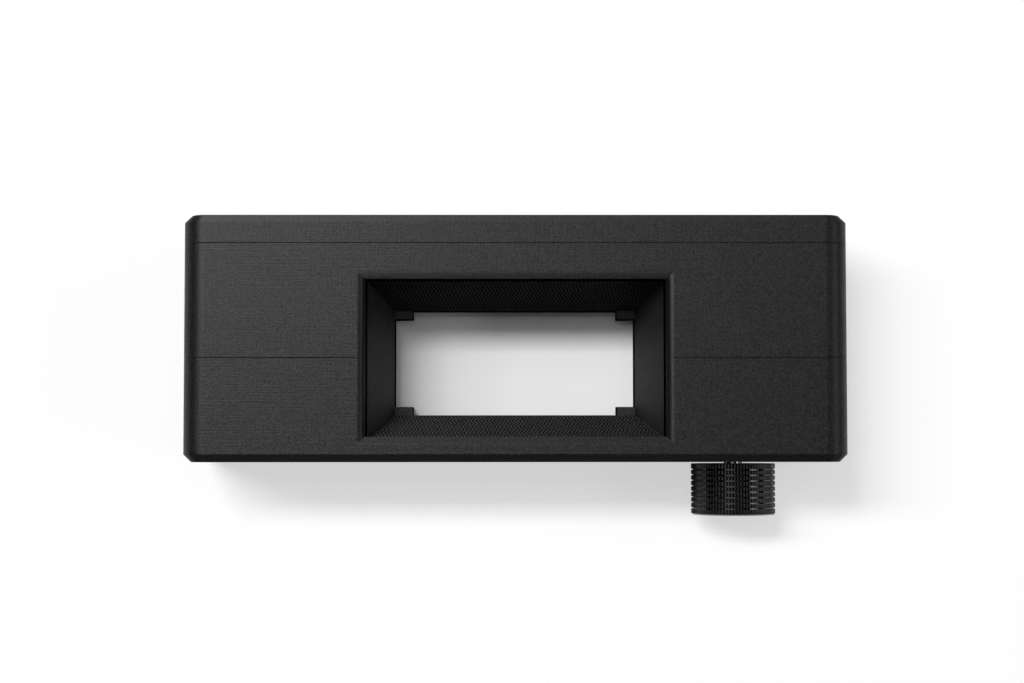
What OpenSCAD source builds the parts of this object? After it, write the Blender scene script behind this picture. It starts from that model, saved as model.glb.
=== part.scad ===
// Hand-wound carrier for 35 mm film: a printed casing in three slices round a flared window,
// and a knob whose roller draws the film through a thin channel behind the window.
// X runs along the film, Y across it, and Z from the light behind the film to the camera in front.
// The origin is the centre of the film gate, in the film plane. Lengths are in millimetres.

/* [Film and channel] */
// Width of the film strip
film_w = 35; // [33:0.5:37]
// Room beside each edge of the film in its channel
film_side_gap = 0.2; // [0.1:0.05:0.6]
// Height of the film channel
channel_gap = 0.6; // [0.4:0.1:1]
// Height of the flared mouth at each end of the channel
mouth_gap = 3; // [1.5:0.5:4]
// Depth of the flared mouth
mouth_d = 4; // [2:0.5:8]
// Thickness of the plate that guides the film from in front
guide_t = 3; // [2:0.25:5]

/* [Window] */
// Length of the gate opening, along the film
gate_w = 66.9; // [50:0.1:74]
// Height of the gate opening, across the film
gate_h = 29.2; // [26:0.1:32]
// Length of each corner tab, along the film
tab_l = 5; // [2:0.25:8]
// Height of each corner tab, across the film
tab_h = 2.35; // [1:0.05:4]
// From the film plane to the foot of the sloped walls
gate_t = 1.4; // [1:0.1:3]
// How far the slope at each end of the window leans out
flare_x = 5.75; // [3:0.25:8]
// How far the slope above and below the window leans out
flare_y = 6; // [3:0.25:7]
// Depth of the sloped walls
slope_d = 28.1; // [22:0.1:40]
// Depth of the straight wall between the slopes and the lip
straight_d = 7; // [2:0.1:10]
// Radius of the rounded lip round the window
lip_r = 2.1; // [1:0.1:3]
// Wall left between the lip and the rooms beside the window
rim_wall = 2.3; // [1.5:0.1:4]

/* [Casing] */
// Thickness of the side, front and cover walls
wall = 2.8; // [2:0.1:3.6]
// Thickness of the end wall beside the knob
end_wall = 3.2; // [2.4:0.1:5]
// Thickness of the back wall behind the pinch rollers
back_wall = 1.5; // [1:0.1:3]
// Thickness of the floor under the belt room
floor_t = 3; // [2:0.1:5]
// Height of the top cover
cover_h = 7.5; // [6.5:0.1:11]
// Room in X from each shaft to the wall at its end of the casing
end_room = 24.3; // [22:0.1:30]
// Radius of the four long edges
edge_r = 6; // [4:0.1:7]
// Chamfer round the top and the bottom of the casing
end_chamfer = 2.1; // [1:0.1:3]
// Small chamfer on the slices where they meet
seam_edge = 0.1; // [0.05:0.05:0.5]
// Plastic left behind the end of the blind shaft hole
blind_wall = 1.2; // [0.8:0.1:2]

/* [Shafts and rollers] */
// Radius of the two roller shafts
shaft_r = 2.5; // [2:0.1:3]
// Running gap between a shaft and its bush
run_gap = 0.03; // [0.02:0.01:0.08]
// Gap between pieces that are pressed or glued together
press_gap = 0.02; // [0.01:0.01:0.05]
// Play along a shaft at its clips
end_play = 0.1; // [0.05:0.05:0.3]
// Outer radius of the bushes
bush_r = 4; // [3.6:0.1:5]
// Radius of the flange on a bush
bush_flange_r = 5.5; // [5.2:0.1:6.5]
// Thickness of the flange on a bush
bush_flange_t = 1; // [0.8:0.1:1.5]
// Radius of the boss round a bush
bush_boss_r = 6.6; // [6:0.1:8]
// Height of the boss under the lower bushes
lower_boss_h = 3; // [1:0.1:5]
// Height of the boss under the upper bushes
upper_boss_h = 1; // [0.5:0.1:3]
// Outer radius of the rubber tyres
tyre_r = 6.5; // [6.3:0.1:7.5]
// Width of a rubber tyre
tyre_w = 5; // [3:0.1:5.2]
// Rounding of a tyre's edges
tyre_edge = 0.5; // [0.2:0.1:0.8]
// Radius of the seat that a tyre is stretched over
seat_r = 5; // [4:0.1:5.2]
// Radius of a roller between its tyres
core_r = 5.6; // [5.3:0.1:6]
// How far a roller reaches past the edge of the film
roller_over = 0.5; // [0.3:0.1:1]
// Room between the end of a roller and the clip beside it
clip_room = 1.3; // [0.8:0.1:2.5]
// Thickness of a clip
clip_t = 0.6; // [0.4:0.1:1]
// Outer radius of a clip
clip_r = 4.2; // [3.8:0.1:5]
// Depth of the groove that a clip sits in
clip_groove = 0.5; // [0.3:0.1:0.8]
// Width of a clip's opening
clip_mouth = 3.2; // [2:0.1:3.6]
// Chamfer at the ends of the shafts and axles
shaft_end = 0.4; // [0.2:0.1:0.8]

/* [Pinch rollers] */
// Gap between a tyre and its pinch roller with no film in it
nip_gap = 0.1; // [0.06:0.02:0.14]
// Outer radius of a pinch roller
pinch_r = 2.5; // [2:0.1:3]
// Radius of a pinch roller between its two treads
pinch_waist_r = 2.1; // [1.6:0.1:2.4]
// Radius of a pinch roller's axle
axle_r = 1; // [0.8:0.05:1.2]
// Running gap between the axle and its roller, and in its slots
axle_gap = 0.05; // [0.02:0.01:0.08]
// Room under a pinch roller at rest
pinch_under = 0.45; // [0.4:0.05:0.8]
// How far a pinch roller can be pushed back
pinch_travel = 0.3; // [0.1:0.05:0.35]
// Room round a pinch roller in its pocket
pinch_room = 0.5; // [0.3:0.1:1]
// Width of a leaf spring across the film
spring_w = 3; // [2:0.1:4]
// Length of a leaf spring along the film
spring_l = 12; // [9:0.5:14]
// Thickness of a leaf spring
spring_t = 0.25; // [0.15:0.05:0.4]
// Room round a leaf spring in its pocket
spring_room = 0.4; // [0.2:0.1:0.8]
// How far an axle runs on past its springs
axle_over = 1.4; // [1:0.1:2]

/* [Belt] */
// Pitch of the belt's teeth
belt_pitch = 2; // [2, 2.032]
// Number of teeth on the belt
belt_teeth = 140; // [136:2:150]
// Number of teeth on a pulley
pulley_teeth = 20; // [18:1:22]
// Width of the belt
belt_w = 6; // [5:0.5:7]
// Thickness of the belt's backing
belt_t = 0.63; // [0.5:0.01:0.8]
// Height of a belt tooth
belt_tooth_h = 0.5; // [0.3:0.05:0.6]
// Width of a belt tooth at its root
belt_tooth_w = 1.2; // [0.8:0.1:1.5]
// Gap between the belt's backing and a pulley
belt_gap = 0.1; // [0.05:0.01:0.2]
// Depth of a pulley's tooth spaces
tooth_d = 0.75; // [0.6:0.05:0.8]
// Radius of a pulley's tooth spaces
tooth_r = 0.555; // [0.5:0.005:0.6]
// How far the pitch line lies outside a pulley
pitch_line = 0.254; // [0.2:0.002:0.3]
// Height of the pulley flanges over the teeth
pulley_rim = 1.9; // [1.4:0.1:2.4]
// Thickness of a pulley flange
pulley_flange_t = 1; // [0.8:0.1:1.5]
// Side play of the belt between the flanges
belt_play = 0.6; // [0.4:0.1:1]
// Gap between a pulley and the floor of the belt room
pulley_low_gap = 0.4; // [0.2:0.1:1]
// Gap between a pulley and the cover
pulley_high_gap = 0.7; // [0.5:0.1:1.5]
// How far a shaft stands out of its pulley
shaft_over = 0.2; // [0:0.1:0.4]

/* [Knob] */
// Radius of the knob
knob_r = 11.5; // [9:0.1:12.5]
// Number of toothed rows round the knob
knob_rows = 9; // [6:1:12]
// Length of the first row, next to the casing
first_row = 1.42; // [0.8:0.02:2]
// Pitch of the rows
row_pitch = 1.51; // [1.2:0.01:1.8]
// Width of the groove between two rows
row_groove = 0.4; // [0.2:0.05:0.6]
// Depth of the groove between two rows
row_groove_d = 0.4; // [0.2:0.05:0.6]
// Length of the smooth rim at the knob's end
knob_rim = 0.5; // [0.4:0.1:1.5]
// Chamfer on the smooth rim
knob_chamfer = 0.4; // [0.2:0.1:0.7]
// Gap between the knob and the casing
knob_gap = 0.7; // [0.4:0.1:2]
// Wall between the shaft's hole and the dish
knob_end_t = 2.2; // [1:0.1:3]
// Radius of the shallow dish in the knob's end
dish_r = 8.2; // [5:0.1:9.5]
// Depth of the dish
dish_d = 0.8; // [0.3:0.1:1.5]
// Radius of the knob's grub screw
grub_r = 1.5; // [1.25:0.25:2]
// Length of the grub screw
grub_l = 5; // [3:0.5:6]
// From the knob's inner face to the grub screw
grub_y = 5.3; // [4:0.1:8]
// Depth of the flat on the drive shaft under the grub screw
flat_d = 0.5; // [0.3:0.1:0.8]

/* [Fasteners] */
// Radius of the screw shanks
screw_r = 1.5; // [1.25:0.05:1.6]
// Room round a screw in its hole
screw_room = 0.2; // [0.1:0.05:0.3]
// Radius of a screw head
head_r = 2.75; // [2.5:0.05:2.9]
// Height of a screw head
head_h = 3; // [2:0.1:3.2]
// Room round a screw head
head_room = 0.3; // [0.2:0.05:0.5]
// How far the screws at the middle seam run on past their inserts
body_screw_past = 0.4; // [0:0.1:1.5]
// How far the cover's screws run on past their inserts
cover_screw_past = 0.1; // [0:0.1:0.6]
// Width across the flats of the hexagon sockets
socket_w = 2.5; // [2:0.1:3]
// Outer radius of the threaded inserts
insert_r = 2.1; // [2:0.05:2.4]
// Length of the threaded inserts
insert_l = 5.7; // [4:0.1:6.5]
// Radius of the posts round the screws
post_r = 4.4; // [4:0.1:4.6]
// From the outer faces to the screws near a corner
screw_inset = 7.1; // [7:0.1:8]
// Radius of the alignment dowels
dowel_r = 1.5; // [1:0.1:2]
// Length of the alignment dowels
dowel_l = 8; // [6:0.5:9]
// Wall left beside the dowels at the middle seam
dowel_wall = 1; // [0.6:0.1:1.5]
// Radius of the posts round the cover's dowels
dowel_post_r = 3.2; // [3:0.1:4]
// From the window's centre to the cover's dowels
cover_dowel_x = 30; // [20:1:45]

/* [Hidden] */
$fn = 72;

// Colours
print_black = [0.09, 0.09, 0.095];
gloss_black = [0.04, 0.04, 0.045];
rubber_black = [0.13, 0.13, 0.13];
steel = [0.66, 0.67, 0.69];
spring_steel = [0.52, 0.54, 0.57];
bronze = [0.62, 0.47, 0.26];
brass = [0.78, 0.64, 0.33];
white_plastic = [0.85, 0.85, 0.82];

// How far a cut runs past a face, and how far an added piece sinks into what carries it
over = 1;
bite = 0.5;

// Levels in Z
channel_z = channel_gap / 2;
guide_z = channel_z + guide_t;
pinch_z = -nip_gap / 2 - pinch_r;
pocket_z = pinch_z - pinch_r - pinch_under;
back_z = pocket_z - back_wall;
slope_z = gate_t + slope_d;
lip_z = slope_z + straight_d;
front_z = lip_z + lip_r;
shaft_z = nip_gap / 2 + tyre_r;

// Places in X
shaft_x = (belt_teeth - pulley_teeth) * belt_pitch / 4;
half_w = shaft_x + end_room + wall;
window_x = gate_w / 2 + flare_x;
room_x0 = window_x + lip_r + rim_wall;
room_x1 = half_w - wall;
screw_x = half_w - screw_inset;

// Levels in Y, out from the film's centre line
window_y = gate_h / 2 + flare_y;
channel_y = film_w / 2 + film_side_gap;
roller_y = film_w / 2 + roller_over;
clip_y = roller_y + clip_room;
flange_y = clip_y + clip_t + end_play;
boss_y = flange_y + bush_flange_t;
lower_floor = -(boss_y + lower_boss_h);
lower_y = lower_floor - end_wall;
floor_y0 = boss_y + upper_boss_h;
floor_y1 = floor_y0 + floor_t;
pulley_y0 = floor_y1 + pulley_low_gap;
pulley_y1 = pulley_y0 + belt_w + belt_play + 2 * pulley_flange_t;
roof_y = pulley_y1 + pulley_high_gap;
cover_y1 = roof_y + wall;
cover_y0 = cover_y1 - cover_h;
knob_y1 = lower_y - knob_gap;
knob_rows_y = knob_y1 - first_row - (knob_rows - 1) * row_pitch;
knob_y0 = knob_rows_y - knob_rim;
knob_bore_y = knob_y0 + dish_d + knob_end_t;

// Pinch roller axles and their springs
tread_y = film_w / 2;
pinch_pocket_y = tread_y + pinch_room;
spring_y = pinch_pocket_y + spring_w + spring_room;
axle_y = spring_y + axle_over;
spring_top = pinch_z - axle_r - press_gap;

// Pulleys
pulley_pitch_r = pulley_teeth * belt_pitch / (2 * PI);
pulley_r = pulley_pitch_r - pitch_line;
belt_in_r = pulley_r + belt_gap;
belt_out_r = belt_in_r + belt_t;

// Fasteners
post_front_z = front_z - screw_inset;
post_back_z = guide_z + post_r;
head_depth = head_h + head_room;
body_screw_y = lower_y + head_depth;
body_screw_l = insert_l + body_screw_past - body_screw_y;
cover_screw_y = cover_y1 - head_depth;
cover_screw_l = cover_screw_y - cover_y0 + insert_l + cover_screw_past;
dowel_x = room_x0 - 2 * dowel_r - dowel_wall;
dowel_z = guide_z + 2 * dowel_r + dowel_wall;
cover_dowel_z = front_z - wall - dowel_r;

// A profile in X and Z, carried along Y
module along_y(y0, y1) {
    translate([0, y1, 0])
        rotate([90, 0, 0])
            linear_extrude(y1 - y0)
                children();
}

// A profile in Y and Z, carried along X
module along_x(x0, x1) {
    translate([x0, 0, 0])
        rotate([90, 0, 90])
            linear_extrude(x1 - x0)
                children();
}

// A box between two corners
module block(low, high) {
    translate(low)
        cube(high - low);
}

// A round bar along Y
module rod(r, x, z, y0, y1) {
    translate([x, y0, z])
        rotate([-90, 0, 0])
            cylinder(r = r, h = y1 - y0);
}

// A hexagon socket along Y, which opens at y and runs in by depth
module socket(x, z, y, depth) {
    translate([x, y, z])
        rotate([depth > 0 ? -90 : 90, 0, 0])
            cylinder(r = socket_w / sqrt(3), h = abs(depth), $fn = 6);
}

// A turned piece about an axis along Y, from points that give its radius and its place in Y
module turned(x, z, points) {
    translate([x, 0, z])
        rotate([-90, 0, 0])
            rotate_extrude()
                polygon(points);
}

// The same piece on the right and, mirrored, on the left
module both_sides() {
    children();
    mirror([1, 0, 0])
        children();
}

// A rectangle with round corners, in X and Z
module round_outline(x, z0, z1, r) {
    translate([-x + r, z0])
        square([2 * (x - r), z1 - z0]);
    translate([-x, z0 + r])
        square([2 * x, z1 - z0 - 2 * r]);
    for (cx = [-x + r, x - r], cz = [z0 + r, z1 - r])
        translate([cx, cz])
            circle(r);
}

// A slice of the casing from y0 to y1, with a chamfer round its low end and its high end
module casing_slice(y0, y1, low, high) {
    translate([0, 0, back_z + edge_r])
        linear_extrude(front_z - back_z - 2 * edge_r)
            polygon([
                [-half_w, y0 + low], [-half_w + low, y0], [half_w - low, y0], [half_w, y0 + low],
                [half_w, y1 - high], [half_w - high, y1], [-half_w + high, y1], [-half_w, y1 - high]
            ]);
    along_x(-half_w + edge_r, half_w - edge_r)
        polygon([
            [y0, back_z + low], [y0 + low, back_z], [y1 - high, back_z], [y1, back_z + high],
            [y1, front_z - high], [y1 - high, front_z], [y0 + low, front_z], [y0, front_z - low]
        ]);
    for (x = [-half_w + edge_r, half_w - edge_r], z = [back_z + edge_r, front_z - edge_r])
        turned(x, z, [
            [0, y0], [edge_r - low, y0], [edge_r, y0 + low],
            [edge_r, y1 - high], [edge_r - high, y1], [0, y1]
        ]);
}

// The window's section in one direction: gate, slopes, straight walls and round lips
module window_outline(gate, inner) {
    outer = inner + lip_r;
    difference() {
        polygon([
            [-gate, back_z - over], [gate, back_z - over], [gate, gate_t], [inner, slope_z],
            [inner, lip_z], [outer, lip_z], [outer, front_z + over], [-outer, front_z + over],
            [-outer, lip_z], [-inner, lip_z], [-inner, slope_z], [-gate, gate_t]
        ]);
        for (side = [-outer, outer])
            translate([side, lip_z])
                circle(lip_r);
    }
}

// The space of the window, less the four corner tabs
module window() {
    reach_x = window_x + lip_r + over;
    reach_y = window_y + lip_r + over;
    tab_x = gate_w / 2 - tab_l;
    tab_y = gate_h / 2 - tab_h;
    difference() {
        intersection() {
            along_y(-reach_y, reach_y)
                window_outline(gate_w / 2, window_x);
            along_x(-reach_x, reach_x)
                window_outline(gate_h / 2, window_y);
        }
        for (x = [-gate_w / 2 - over, tab_x], y = [-gate_h / 2 - over, tab_y])
            block([x, y, back_z - 2 * over], [x + tab_l + over, y + tab_h + over, gate_t]);
    }
}

// The thin space that the film runs through, with a flared mouth at each end
module film_channel() {
    reach = half_w + over;
    mouth = mouth_gap / 2;
    throat = half_w - mouth_d;
    along_y(-channel_y, channel_y)
        polygon([
            [-reach, -mouth], [-half_w, -mouth], [-throat, -channel_z], [throat, -channel_z],
            [half_w, -mouth], [reach, -mouth], [reach, mouth], [half_w, mouth],
            [throat, channel_z], [-throat, channel_z], [-half_w, mouth], [-reach, mouth]
        ]);
}

// The slot in the guide plate that a roller reaches through, with room for its clips and flanges
module roller_slot() {
    slot = tyre_r + pinch_room;
    end = roller_y + pinch_room;
    block([shaft_x - slot, -end, 0], [shaft_x + slot, end, guide_z + over]);
    rod(bush_flange_r + pinch_room, shaft_x, shaft_z, -boss_y, boss_y);
}

// The pocket of a pinch roller: room for the roller, its springs and the slots of its axle
module pinch_pocket() {
    roller = pinch_r + pinch_room;
    leaf = spring_l / 2 + spring_room;
    slot = axle_r + axle_gap;
    leaf_top = spring_top + spring_room;
    axle_low = pinch_z - axle_r - pinch_travel - axle_gap;
    axle_end = axle_y + end_play;
    block([shaft_x - roller, -pinch_pocket_y, pocket_z], [shaft_x + roller, pinch_pocket_y, 0]);
    block([shaft_x - leaf, -spring_y, pocket_z], [shaft_x + leaf, spring_y, leaf_top]);
    block([shaft_x - slot, -axle_end, axle_low], [shaft_x + slot, axle_end, pinch_z]);
    rod(slot, shaft_x, pinch_z, -axle_end, axle_end);
}

// A post round a screw, joined to the side wall
module screw_post(z, y0, y1) {
    rod(post_r, screw_x, z, y0, y1);
    block([screw_x, y0, z - post_r], [room_x1 + bite, y1, z + post_r]);
}

// The posts of one slice on one side, the back one joined to the plate or wall behind it
module screw_posts(y0, y1, back_to) {
    screw_post(post_front_z, y0, y1);
    block([screw_x - post_r, y0, post_front_z], [screw_x + post_r, y1, front_z - wall + bite]);
    screw_post(post_back_z, y0, y1);
    block([screw_x - post_r, y0, back_to - bite], [screw_x + post_r, y1, post_back_z]);
}

// A room beside the window, between two levels
module side_room(y0, y1) {
    block([room_x0, y0, guide_z], [room_x1, y1, front_z - wall]);
}

// The belt room, between two levels
module belt_room(y0, y1) {
    along_y(y0, y1)
        round_outline(half_w - wall, back_z + wall, front_z - wall, edge_r - wall);
}

// The posts for the cover's dowels
module dowel_posts(y0, y1) {
    rod(dowel_post_r, cover_dowel_x, cover_dowel_z, y0, y1);
    block(
        [cover_dowel_x - dowel_post_r, y0, cover_dowel_z],
        [cover_dowel_x + dowel_post_r, y1, front_z - wall + bite]
    );
}

// One child at each of the two screw places on one side
module at_screws() {
    for (z = [post_front_z, post_back_z])
        translate([screw_x, 0, z])
            children();
}

module lower_body() {
    color(print_black)
        difference() {
            union() {
                difference() {
                    casing_slice(lower_y, 0, end_chamfer, seam_edge);
                    both_sides()
                        side_room(lower_floor, over);
                }
                both_sides()
                    screw_posts(lower_floor, 0, guide_z);
                both_sides()
                    rod(bush_boss_r, shaft_x, shaft_z, lower_floor - bite, -boss_y);
            }
            window();
            film_channel();
            both_sides()
                roller_slot();
            both_sides()
                pinch_pocket();
            rod(bush_r + press_gap, shaft_x, shaft_z, lower_y - over, over);
            rod(bush_r + press_gap, -shaft_x, shaft_z, lower_y + blind_wall, over);
            both_sides()
                at_screws() {
                    rod(screw_r + screw_room, 0, 0, lower_y - over, over);
                    rod(head_r + head_room, 0, 0, lower_y - over, body_screw_y);
                }
            both_sides()
                rod(dowel_r + press_gap, dowel_x, dowel_z, -dowel_l / 2 - end_play, over);
        }
}

module middle_body() {
    color(print_black)
        difference() {
            union() {
                difference() {
                    casing_slice(0, cover_y0, seam_edge, seam_edge);
                    both_sides()
                        side_room(-over, floor_y0);
                    belt_room(floor_y1, cover_y0 + over);
                }
                both_sides()
                    screw_posts(0, floor_y0 + bite, guide_z);
                both_sides()
                    screw_posts(floor_y1 - bite, cover_y0, post_back_z);
                both_sides()
                    dowel_posts(floor_y1 - bite, cover_y0);
                both_sides()
                    rod(bush_boss_r, shaft_x, shaft_z, boss_y, floor_y0 + bite);
            }
            window();
            film_channel();
            both_sides()
                roller_slot();
            both_sides()
                pinch_pocket();
            both_sides()
                rod(bush_r + press_gap, shaft_x, shaft_z, -over, floor_y1 + over);
            both_sides()
                at_screws() {
                    rod(insert_r + press_gap, 0, 0, -over, insert_l + press_gap);
                    rod(screw_r + screw_room, 0, 0, 0, body_screw_y + body_screw_l + over);
                    rod(insert_r + press_gap, 0, 0, cover_y0 - insert_l - press_gap, cover_y0 + over);
                    rod(screw_r + screw_room, 0, 0, cover_screw_y - cover_screw_l - over, cover_y0);
                }
            both_sides()
                rod(dowel_r + press_gap, dowel_x, dowel_z, -over, dowel_l / 2 + end_play);
            both_sides()
                rod(
                    dowel_r + press_gap, cover_dowel_x, cover_dowel_z,
                    cover_y0 - dowel_l / 2 - end_play, cover_y0 + over
                );
        }
}

module top_cover() {
    color(print_black)
        difference() {
            union() {
                difference() {
                    casing_slice(cover_y0, cover_y1, seam_edge, end_chamfer);
                    belt_room(cover_y0 - over, roof_y);
                }
                both_sides()
                    screw_posts(cover_y0, roof_y + bite, post_back_z);
                both_sides()
                    dowel_posts(cover_y0, roof_y + bite);
            }
            both_sides()
                at_screws() {
                    rod(screw_r + screw_room, 0, 0, cover_y0 - over, cover_y1 + over);
                    rod(head_r + head_room, 0, 0, cover_screw_y, cover_y1 + over);
                }
            both_sides()
                rod(
                    dowel_r + press_gap, cover_dowel_x, cover_dowel_z,
                    cover_y0 - over, cover_y0 + dowel_l / 2 + end_play
                );
        }
}

// A flanged bush on a shaft at x, from its flange's face at y0 to the far end of its barrel at y1
module bush(x, y0, y1) {
    way = y1 > y0 ? 1 : -1;
    bore = shaft_r + run_gap;
    seat = y0 + way * bush_flange_t;
    color(bronze)
        turned(x, shaft_z, [
            [bore, y0], [bush_flange_r, y0], [bush_flange_r, seat],
            [bush_r, seat], [bush_r, y1], [bore, y1]
        ]);
}

module drive_bush_lower() {
    bush(shaft_x, -flange_y, lower_y + head_room);
}

module drive_bush_upper() {
    bush(shaft_x, flange_y, floor_y1);
}

module follower_bush_lower() {
    bush(-shaft_x, -flange_y, lower_y + blind_wall + end_play);
}

module follower_bush_upper() {
    bush(-shaft_x, flange_y, floor_y1);
}

// A roller shaft from y0 up to just past its pulley, with a groove for each clip
module roller_shaft(x, y0) {
    y1 = pulley_y1 + shaft_over;
    neck = shaft_r - clip_groove;
    color(steel)
        turned(x, shaft_z, [
            [0, y0], [shaft_r - shaft_end, y0], [shaft_r, y0 + shaft_end],
            [shaft_r, -clip_y - clip_t - press_gap], [neck, -clip_y - clip_t - press_gap],
            [neck, -clip_y + press_gap], [shaft_r, -clip_y + press_gap],
            [shaft_r, clip_y - press_gap], [neck, clip_y - press_gap],
            [neck, clip_y + clip_t + press_gap], [shaft_r, clip_y + clip_t + press_gap],
            [shaft_r, y1 - shaft_end], [shaft_r - shaft_end, y1], [0, y1]
        ]);
}

module drive_shaft() {
    y0 = knob_bore_y + end_play;
    difference() {
        roller_shaft(shaft_x, y0);
        color(steel)
            block(
                [shaft_x - shaft_r - over, y0 - over, shaft_z - shaft_r - over],
                [shaft_x + shaft_r + over, knob_y1 - shaft_end, shaft_z - shaft_r + flat_d]
            );
    }
}

module follower_shaft() {
    roller_shaft(-shaft_x, lower_y + blind_wall + 2 * end_play);
}

// A roller's core: two seats for the tyres, and a waist that stays off the picture area
module roller(x) {
    bore = shaft_r + press_gap;
    outer = film_w / 2;
    inner = outer - tyre_w;
    color(white_plastic)
        turned(x, shaft_z, [
            [bore, -roller_y], [core_r, -roller_y], [core_r, -outer], [seat_r, -outer],
            [seat_r, -inner], [core_r, -inner], [core_r, inner], [seat_r, inner],
            [seat_r, outer], [core_r, outer], [core_r, roller_y], [bore, roller_y]
        ]);
}

module drive_roller() {
    roller(shaft_x);
}

module follower_roller() {
    roller(-shaft_x);
}

// A rubber tyre that grips the edge of the film, at one end of a roller
module tyre(x, side) {
    y0 = side * (film_w / 2 - press_gap);
    y1 = side * (film_w / 2 - tyre_w + press_gap);
    low = min(y0, y1);
    high = max(y0, y1);
    bore = seat_r + press_gap;
    color(rubber_black)
        turned(x, shaft_z, [
            [bore, low], [tyre_r - tyre_edge, low], [tyre_r, low + tyre_edge],
            [tyre_r, high - tyre_edge], [tyre_r - tyre_edge, high], [bore, high]
        ]);
}

module drive_tyre_lower() {
    tyre(shaft_x, -1);
}

module drive_tyre_upper() {
    tyre(shaft_x, 1);
}

module follower_tyre_lower() {
    tyre(-shaft_x, -1);
}

module follower_tyre_upper() {
    tyre(-shaft_x, 1);
}

// A toothed pulley with a flange on each side of the belt
module pulley(x) {
    bore = shaft_r + press_gap;
    rim = pulley_r + pulley_rim;
    teeth_y0 = pulley_y0 + pulley_flange_t;
    teeth_y1 = pulley_y1 - pulley_flange_t;
    space_r = pulley_r - tooth_d + tooth_r;
    color(white_plastic)
        difference() {
            turned(x, shaft_z, [
                [bore, pulley_y0], [rim, pulley_y0], [rim, teeth_y0], [pulley_r, teeth_y0],
                [pulley_r, teeth_y1], [rim, teeth_y1], [rim, pulley_y1], [bore, pulley_y1]
            ]);
            for (i = [0 : pulley_teeth - 1])
                rod(
                    tooth_r,
                    x + space_r * cos(i * 360 / pulley_teeth),
                    shaft_z + space_r * sin(i * 360 / pulley_teeth),
                    teeth_y0, teeth_y1
                );
        }
}

module drive_pulley() {
    pulley(shaft_x);
}

module follower_pulley() {
    pulley(-shaft_x);
}

// The two spring clips that keep a shaft in place
module clips(x) {
    neck = shaft_r - clip_groove + press_gap;
    color(spring_steel)
        for (y = [-clip_y - clip_t, clip_y])
            difference() {
                turned(x, shaft_z, [[neck, y], [clip_r, y], [clip_r, y + clip_t], [neck, y + clip_t]]);
                block(
                    [x - clip_mouth / 2, y - over, shaft_z],
                    [x + clip_mouth / 2, y + clip_t + over, shaft_z + clip_r + over]
                );
            }
}

module drive_clips() {
    clips(shaft_x);
}

module follower_clips() {
    clips(-shaft_x);
}

// One free run of the belt, with teeth where it is clear of both pulleys
module belt_run() {
    free = shaft_x - pulley_r - pulley_rim;
    steps = floor(free / belt_pitch);
    root = belt_tooth_w / 2;
    tip = belt_tooth_w / 4;
    inner = [
        for (i = [-steps : steps], p = [[-root, 0], [-tip, belt_tooth_h], [tip, belt_tooth_h], [root, 0]])
            [i * belt_pitch + p[0], belt_in_r - p[1]]
    ];
    polygon(concat(
        [[shaft_x, belt_in_r], [shaft_x, belt_out_r], [-shaft_x, belt_out_r], [-shaft_x, belt_in_r]],
        inner
    ));
}

// The belt: two free runs and a half round on each pulley
module timing_belt() {
    y0 = pulley_y0 + pulley_flange_t + belt_play / 2;
    color(rubber_black)
        translate([0, 0, shaft_z]) {
            along_y(y0, y0 + belt_w) {
                belt_run();
                mirror([0, 1])
                    belt_run();
            }
            both_sides()
                translate([shaft_x, y0, 0])
                    rotate([-90, -90, 0])
                        rotate_extrude(angle = 180)
                            translate([belt_in_r, 0])
                                square([belt_t, belt_w]);
        }
}

// The knob: toothed rows with grooves between them, a smooth rim and a shallow dish
module knob() {
    grooves = [
        for (i = [0 : knob_rows - 2], y = [knob_y1 - first_row - i * row_pitch], p = [
            [knob_r, y], [knob_r - row_groove_d, y],
            [knob_r - row_groove_d, y - row_groove], [knob_r, y - row_groove]
        ]) p
    ];
    bore = shaft_r + press_gap;
    color(gloss_black)
        difference() {
            turned(shaft_x, shaft_z, concat(
                [[bore, knob_y1], [knob_r, knob_y1]],
                grooves,
                [
                    [knob_r, knob_y0 + knob_chamfer], [knob_r - knob_chamfer, knob_y0],
                    [dish_r, knob_y0], [dish_r - dish_d, knob_y0 + dish_d],
                    [0, knob_y0 + dish_d], [0, knob_bore_y], [bore, knob_bore_y]
                ]
            ));
            translate([shaft_x, knob_y1 - grub_y, shaft_z - knob_r - over])
                cylinder(r = grub_r + press_gap, h = knob_r + over);
        }
}

// The grub screw in the knob, on the flat of the drive shaft
module knob_grub_screw() {
    tip = shaft_z - shaft_r + flat_d - press_gap;
    color(steel)
        translate([shaft_x, knob_y1 - grub_y, tip - grub_l])
            difference() {
                cylinder(r = grub_r, h = grub_l);
                translate([0, 0, -over])
                    cylinder(r = grub_r / 2, h = grub_l / 2 + over, $fn = 6);
            }
}

// A pinch roller: two treads behind the tyres, and a waist between them
module pinch_roller(x) {
    bore = axle_r + axle_gap;
    inner = tread_y - tyre_w;
    color(rubber_black)
        turned(x, pinch_z, [
            [bore, -tread_y], [pinch_r, -tread_y], [pinch_r, -inner], [pinch_waist_r, -inner],
            [pinch_waist_r, inner], [pinch_r, inner], [pinch_r, tread_y], [bore, tread_y]
        ]);
}

module pinch_roller_right() {
    pinch_roller(shaft_x);
}

module pinch_roller_left() {
    pinch_roller(-shaft_x);
}

module pinch_axle(x) {
    tip = axle_r - shaft_end;
    color(steel)
        turned(x, pinch_z, [
            [0, -axle_y], [tip, -axle_y], [axle_r, -axle_y + shaft_end],
            [axle_r, axle_y - shaft_end], [tip, axle_y], [0, axle_y]
        ]);
}

module pinch_axle_right() {
    pinch_axle(shaft_x);
}

module pinch_axle_left() {
    pinch_axle(-shaft_x);
}

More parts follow.
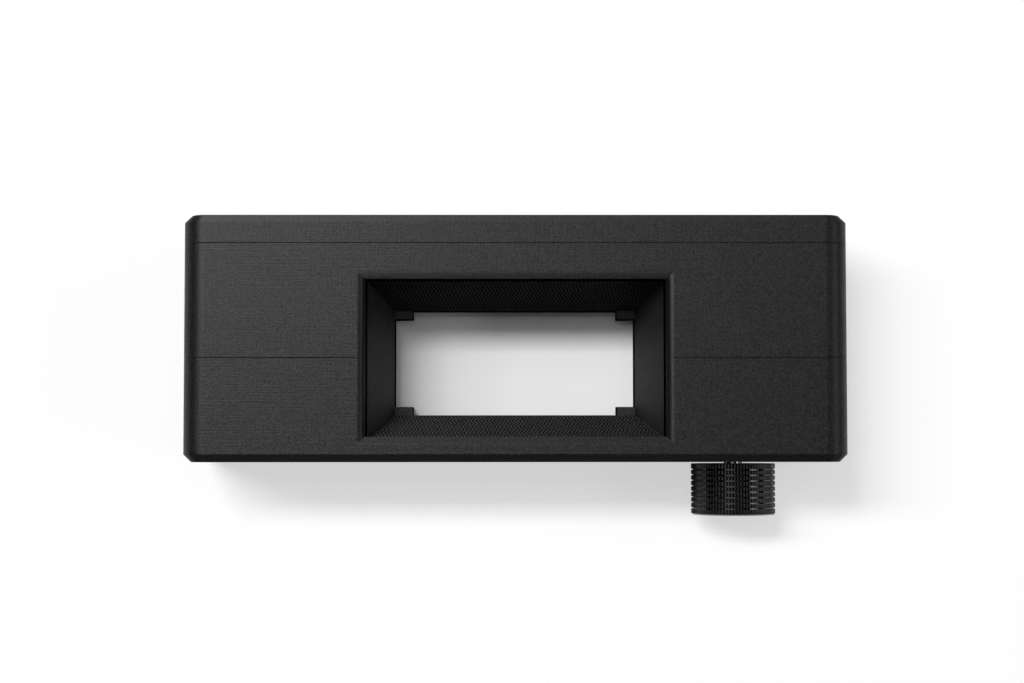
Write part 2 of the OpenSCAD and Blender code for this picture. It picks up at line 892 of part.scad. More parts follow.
// A bowed leaf spring under one end of a pinch axle
module leaf_spring(x, side) {
    rise = spring_top - pocket_z;
    half = spring_l / 2;
    bow_r = (half * half + rise * rise) / (2 * rise);
    middle = side * (pinch_pocket_y + spring_w / 2);
    color(spring_steel)
        intersection() {
            difference() {
                rod(bow_r, x, spring_top - bow_r, middle - spring_w / 2, middle + spring_w / 2);
                rod(
                    bow_r - spring_t, x, spring_top - bow_r,
                    middle - spring_w / 2 - over, middle + spring_w / 2 + over
                );
            }
            block(
                [x - half, middle - spring_w, pocket_z],
                [x + half, middle + spring_w, spring_top + over]
            );
        }
}

module spring_right_lower() {
    leaf_spring(shaft_x, -1);
}

module spring_right_upper() {
    leaf_spring(shaft_x, 1);
}

module spring_left_lower() {
    leaf_spring(-shaft_x, -1);
}

module spring_left_upper() {
    leaf_spring(-shaft_x, 1);
}

// A cap screw along Y whose head sits on y and points to -way
module cap_screw(y, way, length) {
    color(steel)
        difference() {
            union() {
                rod(head_r, 0, 0, min(y, y - way * head_h), max(y, y - way * head_h));
                rod(screw_r, 0, 0, min(y, y + way * length), max(y, y + way * length));
            }
            socket(0, 0, y - way * (head_h + over), way * (head_h / 2 + over));
        }
}

module body_screws() {
    both_sides()
        at_screws()
            cap_screw(body_screw_y, 1, body_screw_l);
}

module cover_screws() {
    both_sides()
        at_screws()
            cap_screw(cover_screw_y, -1, cover_screw_l);
}

// A threaded insert from y0 to y1
module insert(y0, y1) {
    color(brass)
        difference() {
            rod(insert_r, 0, 0, y0, y1);
            rod(screw_r + press_gap, 0, 0, y0 - over, y1 + over);
        }
}

module body_inserts() {
    both_sides()
        at_screws()
            insert(0, insert_l);
}

module cover_inserts() {
    both_sides()
        at_screws()
            insert(cover_y0 - insert_l, cover_y0);
}

module body_dowels() {
    color(steel)
        both_sides()
            rod(dowel_r, dowel_x, dowel_z, -dowel_l / 2, dowel_l / 2);
}

module cover_dowels() {
    color(steel)
        both_sides()
            rod(dowel_r, cover_dowel_x, cover_dowel_z, cover_y0 - dowel_l / 2, cover_y0 + dowel_l / 2);
}

lower_body();
middle_body();
top_cover();
drive_bush_lower();
drive_bush_upper();
follower_bush_lower();
follower_bush_upper();
knob();
knob_grub_screw();
drive_shaft();
drive_roller();
drive_tyre_lower();
drive_tyre_upper();
drive_pulley();
drive_clips();
follower_shaft();
follower_roller();
follower_tyre_lower();
follower_tyre_upper();
follower_pulley();
follower_clips();
timing_belt();
pinch_roller_right();
pinch_axle_right();
pinch_roller_left();
pinch_axle_left();
spring_right_lower();
spring_right_upper();
spring_left_lower();
spring_left_upper();
body_screws();
cover_screws();
body_inserts();
cover_inserts();
body_dowels();
cover_dowels();
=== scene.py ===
"""A hand-wound film carrier: the printed casing's finish, the toothed knob and the lit paper it lies on."""
import math

import bmesh
import bpy
from mathutils import Euler, Matrix, Vector


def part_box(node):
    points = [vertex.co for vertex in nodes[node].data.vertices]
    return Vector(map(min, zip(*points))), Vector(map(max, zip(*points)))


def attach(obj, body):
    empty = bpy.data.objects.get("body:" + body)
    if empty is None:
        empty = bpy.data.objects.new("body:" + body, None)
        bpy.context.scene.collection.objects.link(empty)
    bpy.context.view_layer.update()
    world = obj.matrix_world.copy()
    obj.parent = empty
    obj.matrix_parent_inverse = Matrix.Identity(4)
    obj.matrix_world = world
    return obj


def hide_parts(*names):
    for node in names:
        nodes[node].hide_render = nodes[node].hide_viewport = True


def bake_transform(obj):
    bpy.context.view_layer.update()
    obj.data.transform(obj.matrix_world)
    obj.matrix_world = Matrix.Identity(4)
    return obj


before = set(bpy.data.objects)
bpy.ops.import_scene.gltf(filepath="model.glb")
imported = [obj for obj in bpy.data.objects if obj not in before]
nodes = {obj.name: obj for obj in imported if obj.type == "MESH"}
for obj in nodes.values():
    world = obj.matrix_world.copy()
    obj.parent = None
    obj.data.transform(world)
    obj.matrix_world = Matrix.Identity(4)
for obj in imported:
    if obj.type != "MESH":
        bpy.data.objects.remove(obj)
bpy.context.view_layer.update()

MM = 0.001


# Shader arithmetic

class Value:
    """A shader socket that Python's operators can be used on."""

    def __init__(self, finish, socket):
        self.finish = finish
        self.socket = socket

    def math(self, operation, *others):
        """A Math node with this value first."""
        inputs = dict(enumerate((self,) + others))
        return self.finish.node("Math", {"operation": operation}, inputs)

    def __add__(self, other):
        return self.math("ADD", other)

    __radd__ = __add__

    def __mul__(self, other):
        return self.math("MULTIPLY", other)

    __rmul__ = __mul__

    def __sub__(self, other):
        return self.math("SUBTRACT", other)

    def __rsub__(self, other):
        return self.finish.node("Math", {"operation": "SUBTRACT"}, {0: other, 1: self})

    def __abs__(self):
        return self.math("ABSOLUTE")

    def wave(self, period):
        """A sine from -1 to 1, with one wave to each period of this value."""
        return (self * (2 * math.pi / period)).math("SINE")

    def between(self, low, high):
        """0 up to low and 1 from high on, smooth in between."""
        settings = {"interpolation_type": "SMOOTHSTEP"}
        return self.finish.node("MapRange", settings, {"Value": self, "From Min": low, "From Max": high})


class Shading:
    """The node tree of a material or of the world, emptied and ready for new nodes."""

    def __init__(self, owner):
        owner.use_nodes = True
        self.tree = owner.node_tree
        self.tree.nodes.clear()

    def feed(self, socket, value):
        """Links a Value to a socket, or sets the socket to a number or colour."""
        if isinstance(value, Value):
            self.tree.links.new(value.socket, socket)
        else:
            socket.default_value = value

    def node(self, kind, settings=None, inputs=None, output=0):
        """Any shader node: its settings first, then the values or links of its sockets."""
        made = self.tree.nodes.new("ShaderNode" + kind)
        for name, value in (settings or {}).items():
            setattr(made, name, value)
        for name, value in (inputs or {}).items():
            self.feed(made.inputs[name], value)
        return Value(self, made.outputs[output]) if made.outputs else None

    def split(self, vector):
        """The three parts of a vector."""
        parts = self.node("SeparateXYZ", inputs={0: vector}).socket.node.outputs
        return [Value(self, part) for part in parts]


class Finish(Shading):
    """One procedural material. Its patterns are in the frame's own millimetres."""

    def __init__(self, name):
        self.material = bpy.data.materials.new(name)
        super().__init__(self.material)
        at = self.node("TexCoord", output="Object")
        self.place = self.node("VectorMath", {"operation": "SCALE"}, {0: at, "Scale": 1 / MM})
        self.x, self.y, self.z = self.split(self.place)

    def stretched(self, x, y, z):
        """The place in millimetres, with each direction multiplied."""
        return self.node("VectorMath", {"operation": "MULTIPLY"}, {0: self.place, 1: (x, y, z)})

    def noise(self, x, y, z, detail=2.0, roughness=0.5):
        """Noise from 0 to 1, with so many patches to the millimetre each way."""
        inputs = {"Vector": self.stretched(x, y, z), "Scale": 1.0, "Detail": detail, "Roughness": roughness}
        return self.node("TexNoise", inputs=inputs)

    def facing(self):
        """How far the surface faces along X, Y and Z, each from -1 to 1."""
        return self.split(self.node("NewGeometry", output="True Normal"))

    def mix(self, factor, low, high):
        """A colour from low to high, which are the node's sockets 6 and 7, with their mix at its output 2."""
        return self.node("Mix", {"data_type": "RGBA"}, {0: factor, 6: low + (1,), 7: high + (1,)}, output=2)

    def bump(self, height, distance):
        """A normal from a height of 0 to 1 over so many millimetres."""
        return self.node("Bump", inputs={"Height": height, "Distance": distance * MM, "Strength": 1.0})

    def surface(self, painted_shade=None, **inputs):
        """Ends the material in a Principled shader, mixed by the given mask towards a near-black sheet of
        painted shade. Names have underscores for spaces.
        """
        named = {key.replace("_", " "): value for key, value in inputs.items()}
        shader = self.node("BsdfPrincipled", inputs=named)
        if painted_shade is not None:
            # A near-black sheet of painted shade, mixed in where the mask asks
            dark = self.node("BsdfDiffuse", inputs={"Color": (0.001, 0.001, 0.001, 1)})
            shader = self.node("MixShader", inputs={0: painted_shade, 1: shader, 2: dark})
        self.node("OutputMaterial", inputs={"Surface": shader})
        return self.material


# Printed finish

# The window: half its length, half its height, and how high its slopes, its straight walls and its lip start
WINDOW_X = 39.2
WINDOW_Y = 20.6
GATE_Z = 1.4
SIDE_WALL_Z = 29.5
LIP_Z = 36.5

# How far a mask takes to fade in, how far up the lip the painted shade of the straight walls reaches, and how
# far below the slopes the painted shade of the gate's own walls is full
FADE = 0.2
LIP_SHADE = 1.0
FOOT_SHADE = 0.05

# The spacing of the printed lines on the two ends, and how dark the painted shade in the pits of the grain is
RASTER = 0.62
PIT_SHADE = 0.3

# The strands on the slopes: their spacing along X and Y, how dark their painted shade is, how strongly their
# turns follow
# Y, and where they fade out round the top of the slopes
STRAND_X = 1.0
STRAND_Y = 0.85
STRAND_SHADE = 0.85
STRAND_TURN = 0.3
STRAND_FADE = (-0.5, 1.0)


def in_window(f):
    """1 on the walls of the window and 0 on the rest of the casing."""
    inside_x = 1 - abs(f.x).between(WINDOW_X + FADE, WINDOW_X + 2 * FADE)
    inside_y = 1 - abs(f.y).between(WINDOW_Y + FADE, WINDOW_Y + 2 * FADE)
    return inside_x * inside_y


def strands(f):
    """The slanting strands of the slopes, from -1 to 1, which turn back and forth as they climb."""
    flip = (f.noise(0.12, 0.2, 0.0) + f.y.wave(2 * STRAND_Y) * STRAND_TURN).between(0.4, 0.6)
    across = f.x * (1 / STRAND_X)
    up = f.y * (1 / STRAND_Y)
    rising = (across - up).wave(1.0)
    falling = (across + up).wave(1.0)
    return rising * (1 - flip) + falling * flip


def printed_black(name, strand_shade=0.0):
    """Black filament in thin layers up the Y axis, with a fine grain, painted shade on the window's straight
    walls, the gate's walls and the grain's pits, and, if asked, strands on the slopes drawn in painted shade.
    """
    f = Finish(name)
    along_x, along_y = [abs(part) for part in f.facing()[:2]]
    on_end = along_y.between(0.8, 0.95)
    upright = along_x.between(0.985, 0.995) + along_y.between(0.985, 0.995)
    grain = f.noise(3.2, 3.2, 3.2, detail=1.0).between(0.35, 0.65)
    layers = f.noise(0.04, 2.6, 0.05, detail=2.0, roughness=0.7).between(0.3, 0.7)
    columns = f.noise(2.2, 0.08, 0.05, detail=1.0).between(0.3, 0.7)
    patches = f.noise(0.05, 0.12, 0.05)
    raster = (f.x + f.z).wave(RASTER) * 0.5 + 0.5
    lines = layers * (1 - on_end) + raster * on_end
    tone = grain * 0.6 + lines * 0.2 + columns * 0.1 + patches * 0.1
    window = in_window(f)
    on_side = along_x.between(0.9, 0.96) * window
    # Painted shade on the window's straight walls under the lip and on the gate's own walls, where shadow
    # falls
    shade_top = LIP_Z + LIP_SHADE
    below_lip = 1 - f.z.between(shade_top, shade_top + FADE)
    straight = f.z.between(SIDE_WALL_Z, SIDE_WALL_Z + FADE) * below_lip
    at_foot = 1 - f.z.between(GATE_Z - FOOT_SHADE, GATE_Z)
    # The pits of the grain get painted shade too
    painted_shade = upright * window * (straight + at_foot) + (1 - grain) * PIT_SHADE
    if strand_shade:
        # The stripes follow the real strands of the print; their darkness is painted shade
        on_slope = 1 - f.z.between(*[SIDE_WALL_Z + fade for fade in STRAND_FADE])
        painted_shade = painted_shade + strands(f).between(-0.2, 0.8) * on_slope * strand_shade
    return f.surface(
        painted_shade=painted_shade.math("MINIMUM", 1.0),
        Base_Color=f.mix(tone, (0.0005, 0.0005, 0.0005), (0.014, 0.014, 0.0142)),
        Roughness=0.37 + grain * 0.06 + on_side * 0.25,
        Specular_IOR_Level=0.3,
        Normal=f.bump(lines * 0.35 + columns * 0.3 + grain * 0.35, 0.026),
    )


# Other finishes

def gloss_black():
    """The knob's moulded plastic, almost black, shiny on its teeth and satin on its flat ends."""
    f = Finish("gloss_black")
    on_end = abs(f.facing()[1]).between(0.8, 0.95)
    ripple = f.noise(1.2, 1.2, 1.2, detail=3.0)
    return f.surface(
        Base_Color=f.mix(ripple, (0.001, 0.001, 0.0011), (0.003, 0.003, 0.0033)),
        Roughness=0.12 + ripple * 0.06 + on_end * 0.2,
        Specular_IOR_Level=0.6,
        Normal=f.bump(ripple, 0.005),
    )


def grained(name, grain, detail, dark, pale, smooth, rougher, relief, metallic):
    """A finish whose colour, roughness and relief follow one grain, in patches to the millimetre each way."""
    f = Finish(name)
    patches = f.noise(*grain, detail=detail)
    return f.surface(
        Base_Color=f.mix(patches, dark, pale),
        Metallic=metallic,
        Roughness=smooth + patches * rougher,
        Normal=f.bump(patches, relief),
    )


def ground_steel():
    """Ground and polished steel, with fine turning marks round the Y axis."""
    return grained("ground_steel", grain=(0.2, 14.0, 0.2), detail=3.0, dark=(0.42, 0.42, 0.43),
                   pale=(0.62, 0.62, 0.63), smooth=0.10, rougher=0.12, relief=0.004, metallic=1.0)


def black_oxide():
    """Blackened steel of the socket screws and spring clips, worn to a dull grey shine."""
    return grained("black_oxide", grain=(1.1, 1.1, 1.1), detail=4.0, dark=(0.020, 0.020, 0.022),
                   pale=(0.075, 0.074, 0.074), smooth=0.34, rougher=0.2, relief=0.01, metallic=1.0)


def spring_steel():
    """Blue-grey rolled strip, brushed along Y."""
    return grained("spring_steel", grain=(9.0, 0.3, 9.0), detail=3.0, dark=(0.28, 0.29, 0.31),
                   pale=(0.46, 0.47, 0.49), smooth=0.26, rougher=0.16, relief=0.004, metallic=1.0)


def sintered_bronze():
    """Porous oiled bronze of the bushes."""
    return grained("sintered_bronze", grain=(7.0, 7.0, 7.0), detail=2.0, dark=(0.26, 0.15, 0.07),
                   pale=(0.52, 0.32, 0.16), smooth=0.36, rougher=0.2, relief=0.012, metallic=1.0)


def brass():
    """Turned brass of the threaded inserts."""
    return grained("brass", grain=(0.3, 12.0, 0.3), detail=2.0, dark=(0.62, 0.43, 0.15),
                   pale=(0.80, 0.60, 0.26), smooth=0.22, rougher=0.14, relief=0.005, metallic=1.0)


def matt_rubber():
    """Black rubber of the tyres and the belt, with a fine speckle."""
    return grained("matt_rubber", grain=(6.0, 6.0, 6.0), detail=3.0, dark=(0.012, 0.012, 0.012),
                   pale=(0.035, 0.034, 0.033), smooth=0.72, rougher=0.16, relief=0.02, metallic=0.0)


def white_plastic():
    """Milky moulded plastic of the pinch rollers and pulleys."""
    return grained("white_plastic", grain=(0.7, 0.7, 0.7), detail=3.0, dark=(0.66, 0.66, 0.64),
                   pale=(0.76, 0.76, 0.74), smooth=0.36, rougher=0.12, relief=0.008, metallic=0.0)


def paint(material, *names):
    """Gives CAD nodes a finish."""
    for name in names:
        mesh = nodes[name].data
        mesh.materials.clear()
        mesh.materials.append(material)


print_finish = printed_black("printed_black")
slope_finish = printed_black("printed_black_hatched", STRAND_SHADE)
spring_finish = spring_steel()
paint(print_finish, "lower_body", "middle_body", "top_cover", "drive_roller", "follower_roller")
paint(ground_steel(), "drive_shaft", "follower_shaft", "pinch_axle_right", "pinch_axle_left",
      "body_dowels", "cover_dowels")
paint(black_oxide(), "body_screws", "cover_screws", "knob_grub_screw", "drive_clips", "follower_clips")
paint(spring_finish, "spring_right_lower", "spring_right_upper", "spring_left_lower", "spring_left_upper")
paint(sintered_bronze(), "drive_bush_lower", "drive_bush_upper", "follower_bush_lower", "follower_bush_upper")
paint(brass(), "body_inserts", "cover_inserts")
paint(matt_rubber(), "drive_tyre_lower", "drive_tyre_upper", "follower_tyre_lower", "follower_tyre_upper",
      "timing_belt")
paint(white_plastic(), "pinch_roller_right", "pinch_roller_left", "drive_pulley", "follower_pulley")


# Making pieces

# Points closer than this are one, in millimetres
MERGE = 1e-4

# The share of a small rounding that its middle cuts off the corner
CORNER_CUT = 0.3


def corners(name):
    """A node's lowest and highest corners, in millimetres."""
    return [[value / MM for value in corner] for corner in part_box(name)]


def chain(bm, points, closed=False):
    """The vertices through points, and the edges between them."""
    verts = [bm.verts.new(point) for point in points]
    following = verts[1:] + verts[:1] if closed else verts[1:]
    return verts, [bm.edges.new(pair) for pair in zip(verts, following)]


def spin_round(bm, made, centre, steps):
    """Turns vertices and edges right round a Y axis into a skin."""
    bmesh.ops.spin(bm, geom=made, cent=centre, axis=(0, 1, 0), angle=2 * math.pi, steps=steps,
                   use_merge=True)
    bmesh.ops.remove_doubles(bm, verts=bm.verts, dist=MERGE)


def bar(points, along):
    """A bar in a new mesh: the face through points, pushed along a vector."""
    bm = bmesh.new()
    face = bm.faces.new([bm.verts.new(point) for point in points])
    pushed = bmesh.ops.extrude_face_region(bm, geom=[face])["geom"]
    far_end = [v for v in pushed if isinstance(v, bmesh.types.BMVert)]
    bmesh.ops.translate(bm, verts=far_end, vec=along)
    return bm


def new_piece(name, bm, body, finish, sharp=None):
    """Ends a mesh in millimetres as a piece in metres, which rides on a body, if any. Sharp is in degrees."""
    bmesh.ops.recalc_face_normals(bm, faces=bm.faces)
    bmesh.ops.scale(bm, verts=bm.verts, vec=(MM, MM, MM))
    mesh = bpy.data.meshes.new(name)
    bm.to_mesh(mesh)
    bm.free()
    mesh.materials.append(finish)
    if sharp is not None:
        mesh.shade_smooth()
        mesh.set_sharp_from_angle(angle=math.radians(sharp))
    piece = bpy.data.objects.new(name, mesh)
    bpy.context.scene.collection.objects.link(piece)
    if body:
        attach(piece, body)
    return piece


lower_low, lower_high = corners("lower_body")
cover_high = corners("top_cover")[1]
back_z = lower_low[2]
front_z = lower_high[2]


# Printed layers

# The height of a layer, and how deep the layers' pieces reach into the solid
LAYER = 0.2
SKIN = 0.5

# The window's half height at its gate, and the radius of its lip
GATE_Y = 14.6
LIP_R = 2.1

# On the window: the bead of a layer's edge, the fall of its tread, and how far the layers stand off the slope
# and over the gate
BEAD = 0.03
TREAD_DROP = 0.005
PROUD = 0.06
OVERHANG = 0.02

# On the casing's two ends: the radius of its long edges, the chamfer, the bead of a layer's edge, how far a
# layer's face leans in at either end, and the steps of the mesh round the casing
EDGE_R = 6.0
END_CHAMFER = 2.1
EDGE_BEAD = 0.015
COVER_TILT = 0.014
LOWER_TILT = 0.035
END_STEPS = 96


def window_z(y):
    """The height of the window's long side, from the film gate up its slope, its wall and its lip."""
    if y <= WINDOW_Y + BEAD:
        return GATE_Z + (y - GATE_Y) * (SIDE_WALL_Z - GATE_Z) / (WINDOW_Y - GATE_Y)
    return front_z - LIP_R + math.sqrt(LIP_R ** 2 - (WINDOW_Y + LIP_R - y) ** 2)


def window_layers(name, side):
    """The edges of the layers on one long side of the window, a step for each layer."""
    points = [(GATE_Y - OVERHANG, GATE_Z)]
    top = GATE_Z
    for layer in range(int((WINDOW_Y + LIP_R - GATE_Y) / LAYER)):
        near = GATE_Y - OVERHANG + layer * LAYER
        far = near + LAYER
        rise = min(window_z(far) + PROUD, front_z) - top
        top += rise
        if rise > BEAD:
            points.append((near, top - BEAD))
        points += [(near + min(BEAD, rise), top - min(TREAD_DROP, rise)), (far, top)]
    points += [(far, front_z - LIP_R), (WINDOW_Y + SKIN, front_z - LIP_R - SKIN)]
    points += [(WINDOW_Y + SKIN, SIDE_WALL_Z - SKIN), (GATE_Y + SKIN, GATE_Z - SKIN / 2)]
    half = WINDOW_X + LIP_R
    bm = bar([(-half, side * y, z) for y, z in points], (2 * half, 0, 0))
    new_piece(name, bm, "casing", slope_finish)


def end_layers(name, wall_y, way, tilt):
    """The edges of the layers round one end of the casing, where its chamfer draws them in."""
    points = []
    cut = EDGE_BEAD * CORNER_CUT
    for layer in range(int(END_CHAMFER / LAYER)):
        near = layer * LAYER
        far = near + LAYER
        reach = EDGE_R - near
        points += [(reach - EDGE_BEAD / 2, near), (reach, near + EDGE_BEAD), (reach - tilt, far - EDGE_BEAD)]
        points += [(reach - tilt - cut, far - cut), (reach - tilt - EDGE_BEAD, far)]
    points += [(reach - SKIN, far - EDGE_BEAD), (EDGE_R - SKIN * 2, 0)]
    bm = bmesh.new()
    verts, edges = chain(bm, [(r, wall_y + way * rise, 0) for r, rise in points], closed=True)
    half_step = Matrix.Rotation(math.pi / END_STEPS, 3, "Y")
    bmesh.ops.rotate(bm, verts=verts, cent=(0, 0, 0), matrix=half_step)
    spin_round(bm, verts + edges, (0, 0, 0), END_STEPS)
    reach_x = lower_high[0] - EDGE_R
    reach_z = (front_z - back_z) / 2 - EDGE_R
    middle_z = (front_z + back_z) / 2
    for v in bm.verts:
        v.co.x += math.copysign(reach_x, v.co.x)
        v.co.z += math.copysign(reach_z, v.co.z) + middle_z
    new_piece(name, bm, "casing", print_finish)


window_layers("window_lower_layers", -1)
window_layers("window_upper_layers", 1)
end_layers("lower_end_layers", lower_low[1] + END_CHAMFER, -1, LOWER_TILT)
end_layers("cover_end_layers", cover_high[1] - END_CHAMFER, 1, COVER_TILT)


# Knob

# The teeth round the knob, the facets to a tooth, and a tooth's depth
KNOB_TEETH = 84
STEPS_PER_TOOTH = 6
TOOTH_D = 0.45

# The rows: their number, the width of the first, the width and depth of the grooves between them, the
# rounding of their edges, and the narrow band beside it that keeps a row's crest flat under smooth shading
KNOB_ROWS = 9
FIRST_ROW = 1.42
ROW_GROOVE = 0.4
ROW_GROOVE_D = 0.4
ROW_ROUND = 0.1
CREST_BAND = 0.03

# The plain rim, its chamfer and the dish in the end
KNOB_RIM = 0.5
KNOB_CHAMFER = 0.4
DISH_R = 8.2
DISH_D = 0.8

# The bore for the shaft, the bevel of its mouth, and the grub screw's hole with its distance from the mouth
BORE_R = 2.52
BORE_D = 11.0
TURNED_EDGE = 0.15
GRUB_R = 1.52
GRUB_Y = 5.3
GRUB_STEPS = 48

# How far a cutter reaches past the knob, and the slack with which the toothed part is picked out
PAST = 1.0
SLACK = 0.01


def knob_row(knob_r, start, stop):
    """The section of one row, as radius and Y: out along one side, down its crest and in along the other."""
    groove_r = knob_r - ROW_GROOVE_D
    side_r = knob_r - ROW_ROUND
    cut = ROW_ROUND * CORNER_CUT
    first = start - ROW_ROUND
    last = stop + ROW_ROUND
    return [
        (groove_r, start), (side_r, start), (knob_r - cut, start - cut), (knob_r, first),
        (knob_r, first - CREST_BAND), (knob_r, last + CREST_BAND),
        (knob_r, last), (knob_r - cut, stop + cut), (side_r, stop), (groove_r, stop),
    ]


def knob_section(knob_r, top, end, last_row):
    """Half the knob's section, as radius and Y: its blind bore, its rows, its rim and its dished end."""
    row_pitch = (top - FIRST_ROW - last_row) / (KNOB_ROWS - 1)
    points = [(0, top - BORE_D), (BORE_R, top - BORE_D), (BORE_R, top - TURNED_EDGE)]
    points += [(BORE_R + TURNED_EDGE, top)]
    start = top
    for row in range(KNOB_ROWS):
        stop = top - FIRST_ROW - row * row_pitch
        points += knob_row(knob_r, start, stop)
        start = stop - ROW_GROOVE
    points += [(knob_r, last_row), (knob_r, end + KNOB_CHAMFER), (knob_r - KNOB_CHAMFER, end)]
    points += [(DISH_R, end), (DISH_R - DISH_D, end + DISH_D), (0, end + DISH_D)]
    return points


def cut_away(bm, cutter):
    """The mesh with a second closed mesh cut out of it."""
    made = []
    for part in (bm, cutter):
        mesh = bpy.data.meshes.new("cut")
        part.to_mesh(mesh)
        part.free()
        made.append(bpy.data.objects.new("cut", mesh))
        bpy.context.scene.collection.objects.link(made[-1])
    modifier = made[0].modifiers.new("cut", "BOOLEAN")
    modifier.operation = "DIFFERENCE"
    modifier.solver = "EXACT"
    modifier.object = made[1]
    bpy.context.view_layer.update()
    result = bpy.data.meshes.new_from_object(made[0].evaluated_get(bpy.context.evaluated_depsgraph_get()))
    bm = bmesh.new()
    bm.from_mesh(result)
    bpy.data.meshes.remove(result)
    for part in made:
        bpy.data.meshes.remove(part.data)
    return bm


def knob_toothed():
    """The knob: nine rows of rounded teeth, a plain rim, a dished end, a blind bore and a screw hole."""
    low, high = corners("knob")
    knob_x = (low[0] + high[0]) / 2
    knob_z = (low[2] + high[2]) / 2
    knob_r = (high[0] - low[0]) / 2
    top = high[1]
    last_row = low[1] + KNOB_RIM
    groove_r = knob_r - ROW_GROOVE_D
    bm = bmesh.new()
    section = knob_section(knob_r, top, low[1], last_row)
    verts, edges = chain(bm, [(knob_x + r, y, knob_z) for r, y in section])
    spin_round(bm, verts + edges, (knob_x, 0, knob_z), KNOB_TEETH * STEPS_PER_TOOTH)
    for v in bm.verts:
        out = Vector((v.co.x - knob_x, 0, v.co.z - knob_z))
        if out.length > groove_r + SLACK and v.co.y > last_row - SLACK:
            turn = math.atan2(out.z, out.x) * KNOB_TEETH / 2
            v.co -= out.normalized() * TOOTH_D * (1 - abs(math.cos(turn)))
    bmesh.ops.recalc_face_normals(bm, faces=bm.faces)
    hole = bmesh.new()
    at = Matrix.Translation((knob_x, top - GRUB_Y, knob_z - knob_r / 2))
    bmesh.ops.create_cone(hole, cap_ends=True, segments=GRUB_STEPS, radius1=GRUB_R, radius2=GRUB_R,
                          depth=knob_r + PAST, matrix=at)
    knob = new_piece("knob_toothed", cut_away(bm, hole), "drive_train", gloss_black(), sharp=50)
    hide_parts("knob")


knob_toothed()


# Leaf springs

# The thickness of the strip, the rounding of its edges, and the steps of its bow
SPRING_T = 0.25
SPRING_EDGE = 0.04
BOW_STEPS = 32

# Edges that turn by more degrees than this are the strip's rims
RIM_TURN = 60


def leaf_spring(node):
    """A bowed strip under one end of a pinch axle. It stays put."""
    low, high = corners(node)
    middle = (low[0] + high[0]) / 2
    half = (high[0] - low[0]) / 2
    rise = high[2] - low[2]
    bow_r = (half ** 2 + rise ** 2) / (2 * rise)
    outer_turn = math.asin(half / bow_r)
    inner_r = bow_r - SPRING_T
    inner_turn = math.acos((bow_r - rise) / inner_r)
    arcs = []
    for r, turn in ((bow_r, outer_turn), (inner_r, -inner_turn)):
        for step in range(BOW_STEPS + 1):
            a = turn * (2 * step / BOW_STEPS - 1)
            arcs.append((middle + r * math.sin(a), low[1], high[2] - bow_r + r * math.cos(a)))
    bm = bar(arcs, (0, high[1] - low[1], 0))
    rims = [edge for edge in bm.edges if edge.calc_face_angle(0) > math.radians(RIM_TURN)]
    bmesh.ops.bevel(bm, geom=rims, offset=SPRING_EDGE, segments=2, profile=0.5, affect="EDGES",
                    material=-1)
    spring = new_piece(node + "_bowed", bm, None, spring_finish, sharp=35)
    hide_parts(node)
    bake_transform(spring)


for side in ("right", "left"):
    for end in ("lower", "upper"):
        leaf_spring("spring_" + side + "_" + end)


# Floor, light and camera

# The floor's radius in metres, and how white the paper is to the object, and to the camera and reflections
FLOOR_R = 12.0
PAPER = 0.86
PAPER_SEEN = 1.0

# Outside the window's view the camera sees the paper paler, a painted glow that lightens the object's shadows
# there: its share of that glow, the strength of the glow, and the distances from the centre, in millimetres,
# over which it fades in
PAPER_LIFT = 0.5
PAPER_GLOW = 1.15
LIFT_X = (50.0, 60.0)
LIFT_Y = (20.0, 24.0)

# The lamps' height over the film plane in metres, and the strength of the room round them
LAMP_HEIGHT = 2.5
ROOM = 0.01

# Each lamp's name, its two corners in metres and its radiance
LAMPS = (
    ("window_far_left", (-2.25, 0.62), (-1.25, 1.0), 19.6),
    ("window_left", (-1.25, 0.62), (-0.75, 1.0), 31.3),
    ("window_right", (-0.75, 0.62), (-0.375, 1.0), 46.0),
    ("behind", (-0.75, 1.0), (-0.375, 1.5), 5.4),
    ("left_ceiling", (-1.25, 0.25), (-0.75, 0.62), 5.8),
    ("ceiling", (-0.375, 0.25), (0.125, 0.62), 4.0),
    ("above_left", (-1.25, -0.25), (-0.05, 0.15), 1.1),
    ("low_left", (-4.5, -1.5), (-2.75, -0.25), 0.7),
    ("right_behind", (0.125, 0.25), (1.0, 1.5), 1.05),
    ("overhead", (-1.1, -0.75), (1.1, 0.25), 0.15),
    ("low_right", (2.5, -1.25), (3.75, 1.25), 3.1),
    ("low_far_right", (3.75, -1.5), (6.25, 1.5), 1.75),
)

# The camera's place in millimetres, its turn in radians, and its sensor's width and its lens in millimetres
CAMERA_PLACE = (-3.767, -21.588, 558.269)
CAMERA_TURN = (0.04949, -0.00534, -0.0005)
SENSOR = 36.0
LENS = 70.31


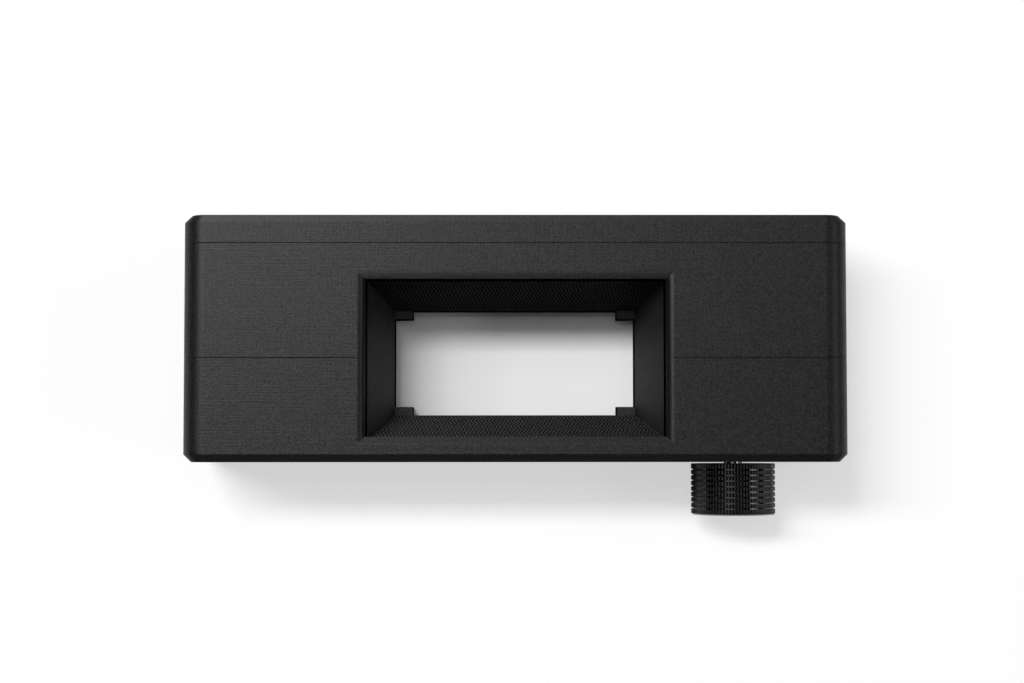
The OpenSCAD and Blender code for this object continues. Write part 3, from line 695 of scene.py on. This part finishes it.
def paper_floor():
    """White paper under the object. Outside the window's view it glows to the camera, a painted lift of the
    object's shadows there, and lights nothing.
    """
    bm = bmesh.new()
    bmesh.ops.create_circle(bm, cap_ends=True, segments=96, radius=FLOOR_R)
    bmesh.ops.translate(bm, verts=bm.verts, vec=(0, 0, back_z * MM))
    mesh = bpy.data.meshes.new("paper_floor")
    bm.to_mesh(mesh)
    bm.free()
    floor = bpy.data.objects.new("paper_floor", mesh)
    bpy.context.scene.collection.objects.link(floor)
    f = Finish("paper")
    seen = f.node("LightPath", output="Is Camera Ray")
    rays = seen.math("MAXIMUM", f.node("LightPath", output="Is Glossy Ray"))
    diffuse = f.node("BsdfDiffuse", inputs={"Color": f.mix(rays, (PAPER,) * 3, (PAPER_SEEN,) * 3)})
    pale = f.node("Emission", inputs={"Color": (1.0, 1.0, 1.0, 1.0), "Strength": PAPER_GLOW})
    # Where the paper's shadows are painted lighter: all but the paper seen through the window
    shadow_lift_mask = abs(f.x).between(*LIFT_X).math("MAXIMUM", abs(f.y).between(*LIFT_Y))
    shader = f.node("MixShader", inputs={0: seen * (shadow_lift_mask * PAPER_LIFT), 1: diffuse, 2: pale})
    f.node("OutputMaterial", inputs={"Surface": shader})
    mesh.materials.append(f.material)


def softbox(name, low, high, radiance):
    """A soft rectangular lamp that faces straight down, from one corner to the other in metres."""
    width = high[0] - low[0]
    depth = high[1] - low[1]
    data = bpy.data.lights.new(name, "AREA")
    data.shape = "RECTANGLE"
    data.size = width
    data.size_y = depth
    data.energy = radiance * math.pi * width * depth
    lamp = bpy.data.objects.new(name, data)
    lamp.location = ((low[0] + high[0]) / 2, (low[1] + high[1]) / 2, LAMP_HEIGHT)
    bpy.context.scene.collection.objects.link(lamp)


def room_light():
    """A dim room all round."""
    world = bpy.data.worlds.new("room")
    bpy.context.scene.world = world
    sky = Shading(world)
    sky.node("OutputWorld", inputs={"Surface": sky.node("Background", inputs={"Strength": ROOM})})


def set_camera():
    """The camera of the photograph: nearly straight down from about half a metre."""
    data = bpy.data.cameras.new("camera")
    data.sensor_width = SENSOR
    data.lens = LENS
    data.clip_start = 0.01
    data.clip_end = 50.0
    camera = bpy.data.objects.new("camera", data)
    camera.location = [value * MM for value in CAMERA_PLACE]
    camera.rotation_euler = Euler(CAMERA_TURN)
    bpy.context.scene.collection.objects.link(camera)
    bpy.context.scene.camera = camera


paper_floor()
room_light()
for lamp in LAMPS:
    softbox(*lamp)
set_camera()
bpy.context.scene.view_settings.view_transform = "Standard"
